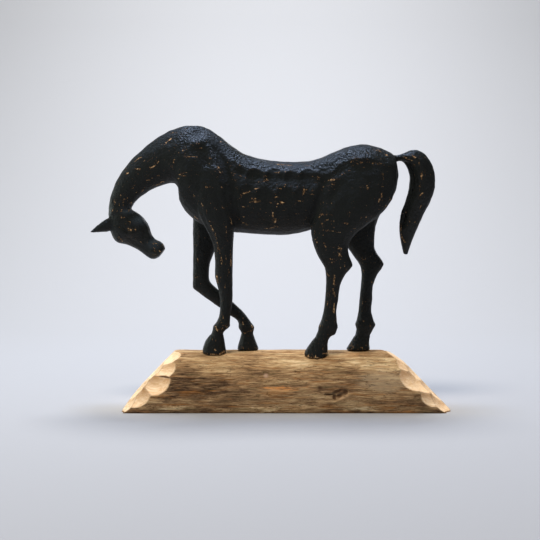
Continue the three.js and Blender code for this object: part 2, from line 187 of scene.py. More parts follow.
WORN_SLIGHT = [
    (-99, 307, -94, 311), (-127, 267, -127, 267), (-116, 271, -116, 270), (-99, 245, -98, 239),
    (-90, 220, -87, 212), (-87, 212, -84, 201), (-74, 221, -75, 212), (-55, 295, -54, 294),
    (-51, 287, -51, 287), (-46, 262, -38, 261), (-56, 264, -55, 262), (-14, 274, -3, 274),
    (-18, 262, -6, 263), (-47, 222, -40, 222), (-5, 246, 0, 247), (14, 258, 21, 259),
    (12, 242, 17, 242), (-29, 235, -25, 235), (-12, 304, 8, 303), (-51, 311, -45, 310),
    (-110, 217, -110, 217), (-111, 206, -110, 203), (-100, 199, -99, 191), (-113, 186, -113, 180),
    (-106, 324, -105, 324), (-138, 313, -140, 304), (-141, 303, -140, 302), (-120, 276, -119, 275),
    (-99, 276, -98, 274), (-88, 249, -87, 248), (46, 250, 51, 250), (44, 241, 46, 241),
    (49, 241, 58, 240), (61, 231, 78, 230), (65, 193, 69, 190), (44, 231, 45, 225), (46, 218, 46, 216),
    (104, 287, 103, 279), (92, 275, 91, 268), (119, 275, 118, 263), (115, 260, 113, 256),
    (76, 255, 77, 254), (81, 271, 82, 270), (75, 243, 76, 242), (98, 240, 100, 237), (93, 252, 94, 251),
    (98, 253, 99, 252), (125, 254, 122, 250), (81, 300, 84, 303), (84, 303, 97, 307),
    (80, 307, 87, 309), (110, 322, 116, 322), (148, 314, 154, 312), (154, 312, 160, 309),
    (169, 281, 168, 270), (153, 246, 152, 239), (156, 233, 156, 232), (164, 233, 163, 230),
    (147, 229, 146, 218), (11, 243, 16, 243), (47, 277, 52, 276), (99, 208, 100, 208),
    (78, 203, 79, 203), (114, 183, 115, 180), (98, 186, 100, 183), (-143, 345, -137, 344),
    (-189, 309, -186, 312), (-187, 294, -186, 293), (-165, 302, -158, 308), (-168, 288, -167, 287),
    (-163, 289, -158, 291), (-189, 270, -184, 269), (-184, 269, -178, 275), (-197, 272, -189, 279),
    (-205, 279, -204, 272), (-204, 261, -205, 254), (-219, 248, -219, 246), (-214, 249, -213, 245),
    (-152, 297, -152, 296), (-143, 304, -141, 298), (-133, 297, -132, 296), (-128, 321, -125, 321),
    (-209, 239, -204, 238), (-190, 223, -189, 222), (-210, 226, -209, 225), (-184, 207, -183, 206),
    (-168, 207, -167, 206), (-164, 206, -164, 205), (-174, 196, -171, 197), (-128, 267, -128, 266),
    (-209, 268, -208, 265), (-186, 311, -185, 313), (-86, 209, -85, 195), (-111, 216, -111, 211),
    (-111, 205, -109, 200), (-101, 192, -100, 185), (-114, 182, -113, 181), (-114, 163, -114, 158),
    (-113, 154, -106, 154), (-75, 179, -75, 174), (-71, 171, -70, 165), (-79, 115, -79, 112),
    (-76, 102, -73, 99), (-55, 105, -54, 101), (-58, 72, -37, 71), (-95, 76, -88, 71),
    (-93, 85, -92, 84), (51, 168, 54, 165), (146, 218, 148, 212), (148, 212, 152, 206),
    (61, 285, 68, 290), (68, 290, 74, 294), (74, 294, 79, 296), (56, 202, 69, 198), (54, 187, 58, 186),
    (-128, 313, -108, 313), (43, 105, 42, 99), (99, 186, 100, 183), (113, 183, 114, 181),
    (100, 170, 102, 167), (94, 149, 93, 140), (99, 137, 99, 127), (88, 111, 88, 107), (84, 79, 85, 76),
    (95, 85, 96, 84), (45, 75, 47, 72), (-53, 89, -47, 92), (-47, 92, -42, 94), (120, 292, 120, 282),
    (37, 208, 39, 207),
]
WORN_SLIGHT_SHARE = 0.72  # how rubbed a slight one is, beside a deep one
WORN_HALF_WIDTH = 1.0
# Painted sheen: bluish patches on the poll, forehead and nose, for the reflection of the light above that
# the neck keeps off the head: centre and half lengths.
PAINTED_HEAD_SHEEN = [((-200, 0, 246.5), (8, 60, 4)), ((-184, 0, 234.5), (9, 60, 6)),
             ((-167, 0, 204.5), (8, 60, 6))]
GRAIN_RUN_STEP = 300  # each run's pattern starts this far from the one before it
# How the wood's grain runs: (start x, start z, end x, end z, reach), seen from the side.
GRAIN_RUNS = {
    "head": (-222, 230, -158, 194, 26),
    "throat": (-213, 240, -201, 275, 24),
    "neck": (-203, 275, -150, 318, 34),
    "withers": (-150, 318, -95, 310, 44),
    "barrel": (-95, 290, 55, 275, 46),
    "croup": (55, 300, 135, 292, 30),
    "near fore": (-90, 262, -80, 60, 24),
    "hind": (60, 262, 44, 60, 26),
    "far hind": (118, 255, 100, 60, 24),
    "far fore": (-108, 250, -108, 160, 16),
    "far shin": (-108, 155, -48, 95, 16),
    "tail top": (130, 314, 172, 308, 12),
    "tail": (176, 300, 152, 192, 16),
}

# ------ the log's own measures

LOG_MESH_MM = 1.4
LOG_RELAX_TURNS = 3
LOG_HALF_DEPTH = 68.0
LOG_BOXINESS = 2.3  # 2 is a round log, and more is fuller at the shoulders
LOG_UNDERSIDE = 0.8  # below this height the log stays flat
CUT_BELOW_SKIN = (0.5, 1.1)  # deeper in than this is a gouged end, not skin
SKIN_SINK, SKIN_HIGHEST = 0.55, 0.25  # the skin lies this far in, and stands no prouder than that
# The bowls of the torn-out knot: x, z, half length, half height, lean.
TORN_KNOT_BOWLS = [(52, 22.8, 7, 1.5, 0.1), (62.5, 26, 7.5, 2.4, 0.3), (58.4, 20, 2.8, 5.5, 0.0),
                   (65, 22.2, 5.5, 3.6, 0.3), (71.5, 25.6, 4.8, 4.4, 0.2)]
TORN_KNOT_LIP = dict(x=68.6, z=18.6, lean=0.37, height=1.3)
TORN_KNOT_DEPTH = 2.2

# ------ the bench, in metres

FLOOR_SPAN = 8.0
WALL_PLACE = 1.6
WALL_HEIGHT = 1.1
SWEEP_RADIUS = 0.9
CAMERA_EYE = Vector((-20, -1150, 224)) * MM
CAMERA_AIM = Vector((-20, 0, 171)) * MM
LENS_MM = 59.98
SENSOR_MM = 36

# ------ helpers for meshes


def deselect_all():
    if bpy.context.object and bpy.context.object.mode != "OBJECT":
        bpy.ops.object.mode_set(mode="OBJECT")
    bpy.ops.object.select_all(action="DESELECT")


def make_active(piece):
    deselect_all()
    piece.select_set(True)
    bpy.context.view_layer.objects.active = piece


def fine_copy(node, name, spacing_mm):
    """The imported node's shape as one closed even mesh, ready to be carved."""
    piece = bpy.data.objects.new(name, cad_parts[node].data.copy())
    bpy.context.scene.collection.objects.link(piece)
    piece.data.materials.clear()
    make_active(piece)
    bpy.ops.object.mode_set(mode="EDIT")
    bpy.ops.mesh.select_all(action="SELECT")
    bpy.ops.mesh.remove_doubles(threshold=0.01 * MM)
    bpy.ops.object.mode_set(mode="OBJECT")
    bpy.ops.mesh.customdata_custom_splitnormals_clear()
    remesh = piece.modifiers.new("even mesh", "REMESH")
    remesh.mode = "VOXEL"
    remesh.voxel_size = spacing_mm * MM
    bpy.ops.object.modifier_apply(modifier=remesh.name)
    bpy.ops.object.shade_smooth()
    return piece


def triples(points, field):
    """One row of three numbers for each of a mesh's points."""
    flat = np.zeros(len(points) * 3)
    points.foreach_get(field, flat)
    return flat.reshape(-1, 3)


def places_mm(piece):
    return triples(piece.data.vertices, "co") / MM


def put_places(piece, places):
    piece.data.vertices.foreach_set("co", (places * MM).ravel())
    piece.data.update()


def normals_of(piece):
    return triples(piece.data.vertex_normals, "vector")


class Web:
    """Which points of a mesh are joined by an edge, to average over neighbours."""

    def __init__(self, piece):
        ends = np.zeros(len(piece.data.edges) * 2, dtype=np.int64)
        piece.data.edges.foreach_get("vertices", ends)
        ends = ends.reshape(-1, 2)
        self.size = len(piece.data.vertices)
        self.here = ends.ravel()
        self.there = ends[:, ::-1].ravel()
        self.count = np.maximum(np.bincount(self.here, minlength=self.size), 1)

    def mean(self, values):
        if values.ndim == 1:
            return np.bincount(self.here, values[self.there], self.size) / self.count
        return np.stack([self.mean(values[:, axis]) for axis in range(values.shape[1])], axis=1)

    def blurred(self, values, turns):
        for _ in range(turns):
            values = 0.5 * values + 0.5 * self.mean(values)
        return values


def relaxed(places, web, turns, strength):
    """Smooths out facets without shrinking the form. strength is 0 to 1 for each point."""
    for _ in range(turns):
        for step in (0.5, -0.52):  # in, and then out a little further
            places = places + step * strength[:, None] * (web.mean(places) - places)
    return places


def smooth_step(values, low, high):
    share = np.clip((values - low) / (high - low), 0, 1)
    return share * share * (3 - 2 * share)


def curve_through(points, per_span=6):
    """Points on a smooth curve through the given ones."""
    known = np.array([points[0], *points, points[-1]], dtype=float)
    out = []
    for a, b, c, d in zip(known, known[1:], known[2:], known[3:]):
        for t in np.arange(per_span) / per_span:
            bend, twist = 2 * a - 5 * b + 4 * c - d, 3 * b - a - 3 * c + d
            out.append(0.5 * (2 * b + (c - a) * t + bend * t**2 + twist * t**3))
    return np.array([*out, known[-1]])


def distance_to_line(spots, line):
    """Distance of each spot from a line of points, and how far along it the nearest place is."""
    best = np.full(len(spots), np.inf)
    share = np.zeros(len(spots))
    for k, (start, end) in enumerate(zip(line, line[1:])):
        run = end - start
        t = np.clip((spots - start) @ run / max(run @ run, 1e-9), 0, 1)
        gap = np.linalg.norm(spots - start - t[:, None] * run, axis=1)
        nearer = gap < best
        best[nearer] = gap[nearer]
        share[nearer] = (k + t[nearer]) / (len(line) - 1)
    return best, share


def noise_at(spots, scale, seed=0.0):
    """Smooth noise between -1 and 1 at each spot, a lump being about 1 / scale across."""
    offset = Vector((seed * 17.3, seed * 5.1, seed * 9.7))
    return np.array([noise.noise(Vector(spot) + offset) for spot in spots * scale])


def store(piece, name, values):
    """Keeps one number, or one direction, for each point of the mesh, for the material to read."""
    kind = "FLOAT" if values.ndim == 1 else "FLOAT_VECTOR"
    field = piece.data.attributes.new(name, kind, "POINT")
    part = "value" if values.ndim == 1 else "vector"
    field.data.foreach_set(part, values.astype(np.float32).ravel())


# ------ carving the horse


def line_marks(places, normals, lines, side_from):
    """How far each point moves out for a set of cut and raised lines, on both sides alike."""
    move = np.zeros(len(places))
    on_side = smooth_step(np.abs(normals[:, 1]), *side_from)
    seen = places[:, [0, 2]]
    for points, depth, half_width in lines.values():
        gap, share = distance_to_line(seen, curve_through(points))
        ends = smooth_step(share, -0.001, 0.12) * smooth_step(1 - share, -0.001, 0.12)
        move -= depth * np.exp(-((gap / half_width) ** 2)) * on_side * (0.15 + 0.85 * ends)
    return move


def chamfers(places, normals, cuts):
    """How far in each point moves where a long chamfer has been cut, on both sides alike."""
    move = np.zeros(len(places))
    on_side = smooth_step(np.abs(normals[:, 1]), 0.1, 0.4)
    seen = places[:, [0, 2]]
    for points, side, slope, width in cuts.values():
        line = curve_through(points)
        gap, share = distance_to_line(seen, line)
        knots = np.linspace(0, 1, len(line))
        nearest = np.stack([np.interp(share, knots, line[:, k]) for k in (0, 1)], axis=1)
        beyond = (seen - nearest) @ np.array(side) > 0
        ends = smooth_step(share, 0.0, 0.15) * smooth_step(1 - share, 0.0, 0.15)
        near = smooth_step(3 * width - gap, 0, width)
        move -= slope * np.clip(gap, 0, width) * beyond * ends * near * on_side
    return move


def round_dents(places, normals, dents):
    """Bowls cut from above, steep at the top and running out below, on both sides alike: how far
    each point moves, and 1 inside a bowl and 0 outside it."""
    move = np.zeros(len(places))
    inside = np.zeros(len(places))
    on_side = smooth_step(np.abs(normals[:, 1]), 0.35, 0.7)
    for x, z, radius, depth in dents:
        up = places[:, 2] - z
        away = np.hypot(places[:, 0] - x, np.where(up > 0, up, 0.65 * up)) / radius
        bowl = -depth * np.clip(1 - away ** np.where(up > 0, 4, 2), 0, None)
        rim = 0.35 * depth * np.exp(-(((away - 1.08) / 0.14) ** 2)) * (up > 0)
        move += (bowl + rim) * on_side
        np.maximum(inside, smooth_step(1.12 - away, 0, 0.2) * on_side, out=inside)
    return move, inside


def flat_strokes(places, normals, flats):
    """Tilts each flat's surroundings towards its plane, on both sides alike."""
    mirrored = places * np.array([1, -1, 1]) * (places[:, 1:2] > 0) + places * (places[:, 1:2] <= 0)
    outward = normals * np.where(places[:, 1:2] > 0, [1, -1, 1], [1, 1, 1])
    shift = np.zeros_like(places)
    for x, z, facing, reach, limit in flats.values():
        facing = np.array(facing) / np.linalg.norm(facing)
        gap = np.hypot(mirrored[:, 0] - x, mirrored[:, 2] - z)
        on_side = smooth_step(outward @ facing, 0.1, 0.5)
        centre = mirrored[np.argmin(gap + 1e3 * (on_side < 0.5))]
        away = np.linalg.norm(mirrored - centre, axis=1) / reach
        weight = smooth_step(1 - away, 0, 0.75) * on_side
        off_plane = np.clip((mirrored - centre) @ facing, -limit, limit)
        shift -= facing * (off_plane * weight)[:, None]
    return shift * np.where(places[:, 1:2] > 0, [1, -1, 1], [1, 1, 1])


def neighbours_of(cell):
    steps = (-1, 0, 1)
    return [(cell[0] + i, cell[1] + j, cell[2] + k) for i in steps for j in steps for k in steps]


def tool_facets(places, spacing, sweep, seed):
    """Shallow scallops all over, one for each pass of the gouge, higher where two meet."""
    rng = np.random.default_rng(seed)
    order = rng.permutation(len(places))
    centres = []
    taken = {}
    for index in order:
        cell = tuple((places[index] // spacing).astype(int))
        near = [taken[key] for key in neighbours_of(cell) if key in taken]
        if all(np.linalg.norm(places[index] - other) > spacing for other in near):
            taken[cell] = places[index]
            centres.append(places[index])
        if len(centres) > SCALLOP_LIMIT:
            break
    centres = np.array(centres)
    nearest = np.full(len(places), np.inf)
    for centre in centres:
        gap = ((places - centre) ** 2).sum(axis=1)
        np.minimum(nearest, gap, out=nearest)
    return nearest / (2 * sweep)


def worn_strokes(places, normals):
    """1 in the middle of each worn stroke, falling to 0 within a few millimetres of it, and more
    on the neck, head and tail, which are handled most."""
    seen = places[:, [0, 2]]
    worn = np.zeros(len(places))
    for strokes, share in ((WORN_DEEP, 1.0), (WORN_SLIGHT, WORN_SLIGHT_SHARE)):
        for stroke in strokes:
            ends = np.array(stroke, dtype=float).reshape(2, 2) + [[0, 0], [0.01, 0]]
            gap, _ = distance_to_line(seen, ends)
            np.maximum(worn, share * np.exp(-((gap / WORN_HALF_WIDTH) ** 2)), out=worn)
    handled = smooth_step(-places[:, 0], 125, 145) + smooth_step(places[:, 0], 140, 150)
    return worn * (1 + 0.3 * handled) * smooth_step(np.abs(normals[:, 1]), 0.15, 0.5)


def drawn_corners(places):
    """How far each point is drawn out at the few corners that stand proud."""
    shift = np.zeros_like(places)
    for x, z, out_x, out_z, reach in CORNERS:
        gap = np.hypot(places[:, 0] - x, places[:, 2] - z) / reach
        shift += np.exp(-(gap**2))[:, None] * np.array([out_x, 0, out_z])
    return shift


def leg_rings(places):
    """How far each point moves out for the rings and grooves round the legs."""
    move = np.zeros(len(places))
    for x, z, height, half_width in LEG_RINGS:
        near = smooth_step(LEG_RING_REACH - np.abs(places[:, 0] - x), 0, 6)
        move += height * np.exp(-(((places[:, 2] - z) / half_width) ** 2)) * near
    return move


def grain_frame(places):
    """Each point's place measured along and across its run of grain, and which run that is."""
    seen = places[:, [0, 2]]
    best = np.full(len(places), np.inf)
    out = np.zeros_like(places)
    owner = np.zeros(len(places))
    for index, (x0, z0, x1, z1, reach) in enumerate(GRAIN_RUNS.values()):
        start, end = np.array([x0, z0], float), np.array([x1, z1], float)
        length = np.linalg.norm(end - start)
        along = (end - start) / length
        t = np.clip((seen - start) @ along, 0, length)
        gap = np.linalg.norm(seen - start - t[:, None] * along, axis=1) / reach
        mine = gap < best
        best[mine] = gap[mine]
        run = (seen - start) @ along
        cross = (seen - start) @ np.array([-along[1], along[0]])
        out[mine] = np.stack([run, cross + GRAIN_RUN_STEP * index, places[:, 1]], axis=1)[mine]
        owner[mine] = index
    return out, owner


def sharpness(places, normals, web, turns):
    """Positive on edges that stand out and would be rubbed, negative in hollows, in mm."""
    wide = web.blurred(places, turns)
    return ((places - wide) * normals).sum(axis=1)


def softness(places, web):
    """How far each place is smoothed, 0 to 1: the body well, the legs, head and tail so that
    the planes of the knife stay."""
    x, z = places[:, 0], places[:, 2]
    soft = 0.35 + 0.65 * smooth_step(z, 205, 245)
    for region, share in (
        ((x < -150) & (z < 262), 0.22),  # head
        ((x < -118) & (z < 296) & (z > 236), 0.3),  # throat
        ((np.abs(x + 220) < 12) & (np.abs(z - 236) < 16), 1.0),  # root of the ears
        (x > 146, 0.25),  # tail
        (z < HOOF_CRISP_Z, 0.2),
        (x < EAR_TIP_X, 0.3),
    ):
        soft = np.where(region, share, soft)
    return web.blurred(soft, 6)


def carve_horse():
    horse = fine_copy("horse", "horse_carved", HORSE_MESH_MM)
    web = Web(horse)
    places = places_mm(horse)
    places = relaxed(places, web, HORSE_RELAX_TURNS, softness(places, web))
    put_places(horse, places)

    places = places + flat_strokes(places, normals_of(horse), FLATS) + drawn_corners(places)
    put_places(horse, places)
    normals = normals_of(horse)
    height = places[:, 2]
    body = smooth_step(height, 205, 235)
    legs = 1 - body
    facets = tool_facets(places, SCALLOP_SPACING, SCALLOP_SWEEP, SEED)
    facet_depth = BODY_SCALLOP * body + LEG_SCALLOP * legs * smooth_step(height, 80, 100)
    chatter = noise_at(places, 1 / 7.0) * 0.22 + noise_at(places, 1 / 3.2, 2) * 0.10
    move = line_marks(places, normals, SIDE_LINES, (0.25, 0.65))
    move += line_marks(places, normals, FINE_LINES, (0.15, 0.5))
    move += chamfers(places, normals, CHAMFERS)
    dent_move, dented = round_dents(places, normals, FLANK_GOUGES)
    move += dent_move
    move += (facets - facets.mean()) * facet_depth
    move += chatter * (0.4 + 0.6 * body)
    move += leg_rings(places)
    move = web.blurred(move, 1)
    low, high = (np.array(corner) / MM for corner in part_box("horse"))
    places = np.clip(places + normals * move[:, None], low, high)
    put_places(horse, places)

    normals = normals_of(horse)
    edge = sharpness(places, normals, web, 8)
    edge = web.blurred(edge, 1)
    grain, owner = grain_frame(places)
    seam = np.abs(web.mean(owner) - owner) > 1e-6
    above_log = -depth_under_skin(places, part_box("half_log_base")[1].z / MM)
    sole = 1 - smooth_step(above_log, *SOLE_RIM)
    # The edges of the head and the tail are rubbed less than the rest.
    x = places[:, 0]
    hard_wear = 0.35 + 0.65 * smooth_step(x, -185, -150) * smooth_step(150 - x, 0, 12)
    store(horse, "edge", np.clip(edge / SHARPEST_EDGE, -1, 1) * hard_wear)
    store(horse, "grain", grain * MM)
    store(horse, "whole", 1 - np.clip(web.mean(seam.astype(float)) * 3 + seam, 0, 1))
    store(horse, "sole", sole)
    store(horse, "worn", worn_strokes(places, normals))
    store(horse, "waxed", waxed_share(places, web.blurred(normals[:, 2], 3)) * (1 - 0.9 * dented))
    return horse


def waxed_share(places, facing_up):
    """Where the wax cloth went: along the back from above, and all round the head and the tail,
    but hardly over the neck or into the groove behind the shoulder."""
    x, z = places[:, 0], places[:, 2]
    neck = smooth_step(-x, 122, 142) * smooth_step(z, 250, 270)
    head = smooth_step(-x, 140, 150) * smooth_step(262 - z, 0, 12)
    held = np.maximum(smooth_step(x, 142, 150), head)
    gap, _ = distance_to_line(places[:, [0, 2]], curve_through(SIDE_LINES["behind shoulder"][0]))
    skipped = np.exp(-((gap / 6.5) ** 2))
    wiped = smooth_step(facing_up, 0.1, 0.4) * (1 - 0.85 * neck) * (1 - 0.9 * skipped)
    return np.maximum(wiped, 0.8 * held)


# ------ carving the log


def depth_under_skin(places, log_height):
    """How far in from the round of the log each point is, in mm."""
    across = np.abs(places[:, 1]) / LOG_HALF_DEPTH
    up = np.clip(places[:, 2], 0, None) / log_height
    share = (across**LOG_BOXINESS + up**LOG_BOXINESS) ** (1 / LOG_BOXINESS)
    return (1 - share) * log_height


def carve_log():
    log = fine_copy("half_log_base", "half_log", LOG_MESH_MM)
    web = Web(log)
    places = places_mm(log)
    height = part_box("half_log_base")[1].z / MM
    depth = depth_under_skin(places, height)
    on_top = places[:, 2] > LOG_UNDERSIDE
    cut = smooth_step(depth, *CUT_BELOW_SKIN) * on_top
    places = relaxed(places, web, LOG_RELAX_TURNS, np.where(cut > 0, 0.5, 1.0) * on_top)
    put_places(log, places)
    normals = normals_of(log)

    # The skin: long shallow furrows with the grain, and broad unevenness.
    stretch = places * np.array([0.18, 1.0, 1.0])
    furrow = noise_at(stretch, 1 / 5.0, 1) * 0.45 + noise_at(stretch, 1 / 2.4, 2) * 0.30
    swell = noise_at(places * np.array([0.5, 1, 1]), 1 / 26.0, 3) * 0.7
    knot, hollow = torn_knot(places)
    skin = (furrow + swell - SKIN_SINK + knot) * (1 - cut)
    # The cut ends: fine torn fibres along the stroke.
    torn = noise_at(places * np.array([0.5, 1.0, 0.5]), 1 / 3.0, 4) * 0.07 * cut
    lift = smooth_step(places[:, 2], 0.6, 4.0)
    move = np.minimum(skin + torn, SKIN_HIGHEST) * on_top * lift
    places = places + normals * move[:, None]
    places[:, 1:] = np.clip(places[:, 1:], [-LOG_HALF_DEPTH, 0], [LOG_HALF_DEPTH, height])
    put_places(log, places)

    store(log, "cut", cut)
    store(log, "hollow", hollow * (1 - cut))
    store(log, "furrow", np.clip(furrow, -1, 1))
    # How much more a scoop turns down than the cut around it, for the painted shade there, and how proud
    # each ridge stands, for the darker ridge lines.
    facing = web.blurred(normals_of(log), 3)
    turned_down = web.blurred(facing, 60)[:, 2] - facing[:, 2]
    store(log, "shade", np.clip(web.blurred(turned_down, 2) / 0.35, -1, 1) * cut)
    ridge = web.blurred(sharpness(places, facing, web, 6), 1)
    store(log, "ridge", np.clip(ridge / 0.25, 0, 1) * web.blurred(cut, 2))
    return log


def torn_knot(places):
    """The torn-out knot low on the near side: how far it moves the skin, and how much each point
    is hollow (up to 1) or on the raised lip (down to -1)."""
    near = places[:, 1] < 0
    deepest = np.zeros(len(places))
    for x, z, length, height, lean in TORN_KNOT_BOWLS:
        across = places[:, 0] - x
        up = places[:, 2] - z - lean * across
        away = np.hypot(across / length, up / height)
        np.maximum(deepest, np.clip(1 - away**2, 0, None) ** 0.6, out=deepest)
    across = places[:, 0] - TORN_KNOT_LIP["x"]
    up = places[:, 2] - TORN_KNOT_LIP["z"] - TORN_KNOT_LIP["lean"] * across
    lip = np.exp(-((across / 9) ** 2) - (up / 1.8) ** 2) * (deepest < 0.2)
    move = TORN_KNOT_LIP["height"] * lip - TORN_KNOT_DEPTH * deepest
    return move * near, (deepest - lip) * near


# ------ helpers for materials


def linear(hex_colour):
    """A shader's colour from an sRGB hex value such as "#1b1d1b"."""
    shares = [int(hex_colour[k : k + 2], 16) / 255 for k in (1, 3, 5)]
    return (*(s / 12.92 if s <= 0.04045 else ((s + 0.055) / 1.055) ** 2.4 for s in shares), 1.0)


def per_mm(along, across):
    """The scale at which a lump of noise is along mm long on X, and across mm on Y and Z."""
    return (1 / (along * MM), 1 / (across * MM), 1 / (across * MM))


def new_material(name):
    material = bpy.data.materials.new(name)
    material.use_nodes = True
    material.node_tree.nodes.clear()
    return material


def add(material, kind, inputs=None, stops=None, **settings):
    """Adds one node with its settings. An input is given a value, a socket, or a node, whose
    first output then feeds it. stops are the (position, colour) pairs of a colour ramp."""
    node = material.node_tree.nodes.new("ShaderNode" + kind)
    for name, value in settings.items():
        setattr(node, name, value)
    for key, value in (inputs or {}).items():
        if isinstance(value, bpy.types.Node):
            value = value.outputs[0]
        if isinstance(value, bpy.types.NodeSocket):
            material.node_tree.links.new(value, node.inputs[key])
        else:
            node.inputs[key].default_value = value
    for number, (position, hex_colour) in enumerate(stops or []):
        if number == len(node.color_ramp.elements):
            node.color_ramp.elements.new(1.0)
        node.color_ramp.elements[number].position = position
        node.color_ramp.elements[number].color = linear(hex_colour)
    return node


# Places of the sockets on a Mix node: its share, then those for colours and for plain numbers.
SHARE, FROM, TO, MIXED = 0, 6, 7, 2
PLAIN_FROM, PLAIN_TO = 2, 3


def stain_or_painted_light(material, place, centre, reach, soft):
    """1 in the middle of a stain, or of a patch of painted light or shade, and 0 outside it, with a soft
    edge.
    """
    scale = tuple(1 / (r * MM) for r in reach)
    shift = tuple(-c / r for c, r in zip(centre, reach))
    local = add(material, "Mapping", {"Vector": place, "Location": shift, "Scale": scale})
    away = add(material, "VectorMath", {0: local}, operation="LENGTH").outputs["Value"]
    return add(material, "MapRange", {"Value": away, "From Min": 1 + soft, "From Max": 1 - soft},
               interpolation_type="SMOOTHSTEP")


def shifted(material, place, lumps, reach_mm):
    """The place moved about by a coloured noise, up to half of reach_mm each way."""
    reach = tuple(r * MM for r in reach_mm)
    off = add(material, "VectorMath", {0: lumps.outputs["Color"], 1: (0.5, 0.5, 0.5)},
              operation="SUBTRACT")
    off = add(material, "VectorMath", {0: off, 1: reach}, operation="MULTIPLY")
    return add(material, "VectorMath", {0: place, 1: off}, operation="ADD")


# ------ the horse's paint

# How rubbed a place is where the first brown rim shows, where the paint is quite gone, and where
# the wood is at its palest.
RIM_RUB, BARE_RUB, PALEST_RUB = 0.659, 0.694, 0.772


def rubbed_milk_paint():
    """Black milk paint on carved hardwood, brushed on, waxed, and rubbed through with the grain.

    The eye sees a deep green-black with a cool waxy sheen that breaks up over tool marks, a painted
    bluish sheen on the poll, forehead and nose, and small tan dashes of bare wood with brown rims, some
    of them on edges and round the soles.
    """
    material = new_material("rubbed_milk_paint_on_hardwood")
    place = add(material, "TexCoord").outputs["Object"]
    grain = add(material, "Attribute", attribute_name="grain").outputs["Vector"]
    edge, whole, sole, waxed, worn = (
        add(material, "Attribute", attribute_name=name).outputs["Fac"]
        for name in ("edge", "whole", "sole", "waxed", "worn")
    )

    # Each pattern's size in mm along and across, its detail and its roughness. The rubbed dashes
    # are broken up by crumbs and lie in rows and clouds. The wax pools in tool marks and lies
    # thick in patches. Real scratches are finer than the dashes and crumbs, which are drawn as
    # coarse as it takes to show.
    pattern = {}
    for name, field, size, detail, roughness in (
        ("dash", grain, (4.5, 1.15), 1.5, 0.5),
        ("crumb", place, (1.1, 1.1), 1.0, 0.5),
        ("row", grain, (50, 4), 1.0, 0.5),
        ("cloud", place, (15, 15), 2.0, 0.5),
        ("brush stroke", grain, (9, 2.2), 5.0, 0.65),
        ("pool", place, (2.8, 2.8), 2.5, 0.6),
        ("patch", place, (20, 20), 1.0, 0.5),
    ):
        spot = add(material, "Mapping", {"Vector": field, "Scale": per_mm(*size)})
        pattern[name] = add(material, "TexNoise", {
            "Vector": spot, "Scale": 1.0, "Detail": detail, "Roughness": roughness})

    rub = add(material, "Math", {0: pattern["dash"], 1: 0.40}, operation="MULTIPLY")
    for source, share in ((pattern["crumb"], 0.37), (pattern["row"], 0.13), (pattern["cloud"], 0.17),
                          (edge, 0.035), (sole, 0.05), (worn, 0.16)):
        rub = add(material, "Math", {0: source, 1: share, 2: rub}, operation="MULTIPLY_ADD")
    bare = add(material, "MapRange", {"Value": rub, "From Min": RIM_RUB, "From Max": BARE_RUB})
    bare = add(material, "Math", {0: bare, 1: whole}, operation="MULTIPLY")
    depth = add(material, "MapRange", {"Value": rub, "From Min": RIM_RUB, "From Max": PALEST_RUB})
    wood = add(material, "ValToRGB", {"Fac": depth},
               stops=[(0.0, "#35291e"), (0.35, "#7d5c3b"), (0.75, "#c0966a"), (1.0, "#e3c193")])

    # Two nearly equal blacks from stroke to stroke, and a painted bluish sheen on the poll, forehead and
    # nose.
    paint = add(material, "Mix", {
        SHARE: pattern["brush stroke"], FROM: linear("#101312"), TO: linear("#1f211f")},
        data_type="RGBA").outputs[MIXED]
    for centre, reach in PAINTED_HEAD_SHEEN:
        painted_sheen = stain_or_painted_light(material, place, centre, reach, 0.8)
        paint = add(material, "Mix", {SHARE: painted_sheen, FROM: paint, TO: linear("#2c343a")},
                    data_type="RGBA").outputs[MIXED]
    colour = add(material, "Mix", {SHARE: bare, FROM: paint, TO: wood.outputs[0]}, data_type="RGBA")

    # The wax was wiped on from above, along the back, so what faces down and the neck stay dull.
    wax = add(material, "Math", {0: pattern["patch"], 1: 1.6, 2: pattern["pool"]},
              operation="MULTIPLY_ADD")
    gloss = add(material, "MapRange", {
        "Value": wax, "From Min": 1.05, "From Max": 1.5, "To Min": 0.25, "To Max": 0.44})
    gloss = add(material, "Mix", {SHARE: waxed, PLAIN_FROM: 0.62, PLAIN_TO: gloss}, data_type="FLOAT")
    rough = add(material, "Mix", {SHARE: bare, PLAIN_FROM: gloss, PLAIN_TO: 0.8}, data_type="FLOAT")
    relief = add(material, "Math", {0: bare, 1: -0.3, 2: pattern["pool"]}, operation="MULTIPLY_ADD")
    relief = add(material, "Math", {0: pattern["brush stroke"], 1: 0.25, 2: relief},
                 operation="MULTIPLY_ADD")
    bump = add(material, "Bump", {"Height": relief, "Strength": 1.0, "Distance": 1.9 * MM})

    shader = add(material, "BsdfPrincipled", {
        "Base Color": colour.outputs[MIXED], "Roughness": rough, "Normal": bump, "IOR": 1.5,
        "Specular IOR Level": 0.3})
    add(material, "OutputMaterial", {"Surface": shader})
    return material


# ------ the log's wood

# Marks on the log's near side, each (centre, half lengths) in mm, and how much darker or
# lighter the wood is there.
STAINS = [((-100, -58, 36), (34, 30, 8), -0.16), ((-128, -50, 38), (20, 26, 16), -0.12),
          ((-112, -62, 22), (26, 20, 5), -0.12), ((-142, -56, 24), (14, 20, 14), -0.10),
          ((10, -64, 14), (60, 20, 4), -0.06), ((-70, -60, 28), (40, 20, 4), -0.07),
          ((-88, -38, 50), (30, 20, 6), 0.08), ((110, -38, 55), (40, 22, 7), 0.10),
          ((20, -36, 56), (90, 26, 6), 0.08), ((89, -66, 5), (19, 12, 2.4), 0.24),
          ((-141, -66, 7), (14, 12, 2.6), 0.22), ((-26, -67, 3), (8, 12, 2.0), 0.22),
          ((130, -50, 26), (34, 24, 10), 0.06), ((-40, -67, 5), (50, 12, 2.0), 0.10)]
